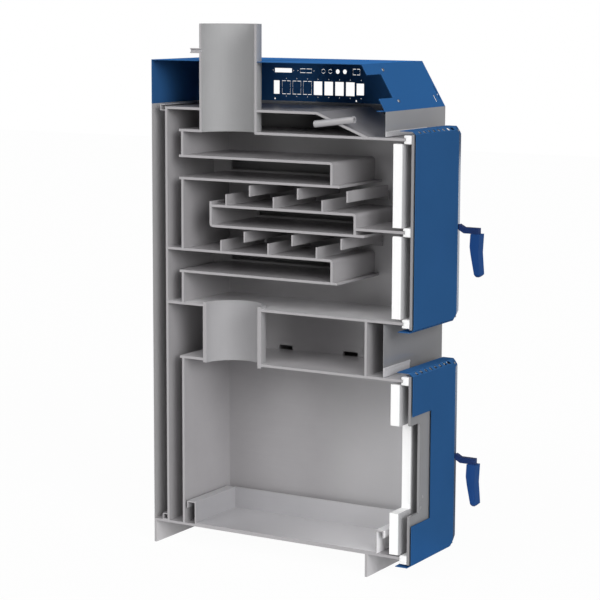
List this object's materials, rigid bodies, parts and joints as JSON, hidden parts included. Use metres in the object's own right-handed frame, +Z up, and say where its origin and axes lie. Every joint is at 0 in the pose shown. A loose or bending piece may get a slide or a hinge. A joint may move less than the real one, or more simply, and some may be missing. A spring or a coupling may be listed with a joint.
{
  "type": "pellet boiler",
  "caption": "Sectioned steel pellet boiler: half a water-jacketed body with gas passages, water pockets, flue, hinged doors with levers, ash pan and blue control cover.",
  "frame": {"origin": "floor level under the middle of the part's outline", "axes": "+Z up, -Y towards the doors, +X from the cut face to the side panel"},
  "size_m": [0.309, 0.8176, 1.283],
  "materials": {
    "boiler_plate": "satin",
    "flue_steel": "satin",
    "pipe_steel": "satin",
    "casing_sheet": "satin",
    "blue_paint": "satin",
    "door_plate": "satin",
    "bracket_steel": "satin",
    "fastener": "satin",
    "rope_gasket": "woven",
    "insulation_board": "matte",
    "lever_paint": "satin",
    "grip": "matte",
    "pan_steel": "satin"
  },
  "bodies": {
    "boiler": {"base_plate": "boiler_plate", "rear_foot": "boiler_plate", "front_foot": "boiler_plate", "rear_outer_wall": "boiler_plate", "rear_inner_wall": "boiler_plate", "side_inner_wall": "boiler_plate", "side_outer_wall": "boiler_plate", "jacket_top_plate": "boiler_plate", "gas_top_plate": "boiler_plate", "upper_pocket_shell": "boiler_plate", "upper_pocket_floor": "boiler_plate", "middle_pocket_top": "boiler_plate", "middle_pocket_bottom": "boiler_plate", "divider_plate": "boiler_plate", "lower_pocket_shell": "boiler_plate", "lower_pocket_floor": "boiler_plate", "upper_chamber_floor": "boiler_plate", "combustion_ceiling": "boiler_plate", "exhaust_tube": "boiler_plate", "front_water_wall": "boiler_plate", "flue_pipe": "flue_steel", "flue_sensor_sleeve": "pipe_steel", "thermowell": "pipe_steel", "upper_turbulators": "boiler_plate", "lower_turbulators": "boiler_plate", "casing_rear": "casing_sheet", "casing_side": "casing_sheet", "casing_front_top": "casing_sheet", "casing_front_middle": "casing_sheet", "control_cover": "blue_paint", "casing_spacers": "boiler_plate", "rear_panel_screws": "fastener", "flow_socket": "pipe_steel", "return_socket": "pipe_steel", "drain_socket": "pipe_steel", "hinge_lugs": "bracket_steel", "hinge_pins": "fastener", "latch_keepers": "bracket_steel"},
    "upper_door": {"upper_door_plate": "door_plate", "upper_door_cover": "blue_paint", "upper_door_gasket": "rope_gasket", "upper_door_insulation": "insulation_board", "upper_door_bolts": "fastener", "upper_hinge_straps": "bracket_steel", "upper_latch_bracket": "bracket_steel"},
    "lower_door": {"lower_door_plate": "door_plate", "lower_door_cover": "blue_paint", "lower_door_gasket": "rope_gasket", "lower_door_insulation": "insulation_board", "lower_door_bolts": "fastener", "lower_hinge_straps": "bracket_steel", "lower_latch_bracket": "bracket_steel"},
    "upper_handle": {"upper_lever": "lever_paint", "upper_grip": "grip", "upper_latch_tongue": "bracket_steel"},
    "lower_handle": {"lower_lever": "lever_paint", "lower_grip": "grip", "lower_latch_tongue": "bracket_steel"},
    "ash_drawer": {"ash_pan": "pan_steel"}
  },
  "joints": [
    {"name": "upper_door_swing", "type": "hinge", "parent": "boiler", "child": "upper_door", "pos_m": [0.1285, -0.28923, 0.81885], "axis": [0, 0, 1], "range_deg": [0, 110]},
    {"name": "lower_door_swing", "type": "hinge", "parent": "boiler", "child": "lower_door", "pos_m": [0.1285, -0.28923, 0.26655], "axis": [0, 0, 1], "range_deg": [0, 110]},
    {"name": "upper_handle_turn", "type": "hinge", "parent": "upper_door", "child": "upper_handle", "pos_m": [0.0815, -0.34923, 0.81235], "axis": [0, 1, 0], "range_deg": [0, 75]},
    {"name": "lower_handle_turn", "type": "hinge", "parent": "lower_door", "child": "lower_handle", "pos_m": [0.0815, -0.34923, 0.26005], "axis": [0, 1, 0], "range_deg": [0, 75]},
    {"name": "ash_pan_slide", "type": "slide", "parent": "boiler", "child": "ash_drawer", "axis": [0, -1, 0], "range_m": [0, 0.012]}
  ]
}
